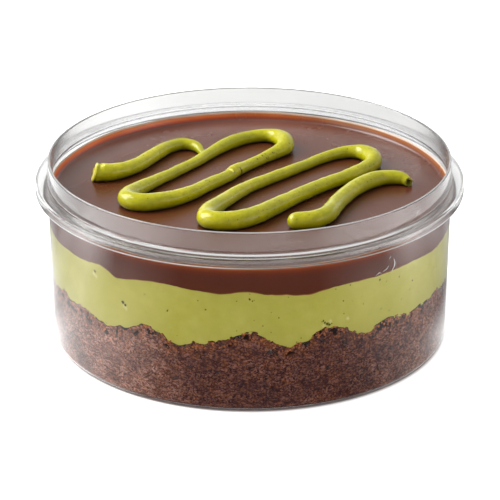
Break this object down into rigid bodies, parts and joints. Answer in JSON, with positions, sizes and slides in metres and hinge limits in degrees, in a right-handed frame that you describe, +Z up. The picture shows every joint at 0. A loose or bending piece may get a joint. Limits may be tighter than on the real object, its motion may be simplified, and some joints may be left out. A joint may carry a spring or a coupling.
{
  "type": "layered chocolate and pistachio cake dessert in a clear round tub",
  "caption": "Open clear round tub filled with chocolate cake, pistachio cream and chocolate ganache, topped with long flat loops of piped pistachio cream.",
  "frame": {"origin": "centre of the tub's base, on the surface it stands on", "axes": "+Z up through the tub's axis, -Y towards the side that the picture shows"},
  "size_m": [0.106, 0.106, 0.0461],
  "materials": {
    "clear_tub": "thin clear moulded plastic, glossy, with a few fine scuffs",
    "chocolate_cake": "dark moist crumb with reddish grains and small pores, matt",
    "pistachio_cream": "smooth olive green cream with fine dark specks, soft gloss",
    "chocolate_ganache": "set chocolate, dark brown, smooth with a soft sheen"
  },
  "bodies": {
    "root": {"tub": "clear_tub", "cake_base": "chocolate_cake", "cream_layer": "pistachio_cream", "ganache": "chocolate_ganache"}
  },
  "joints": []
}
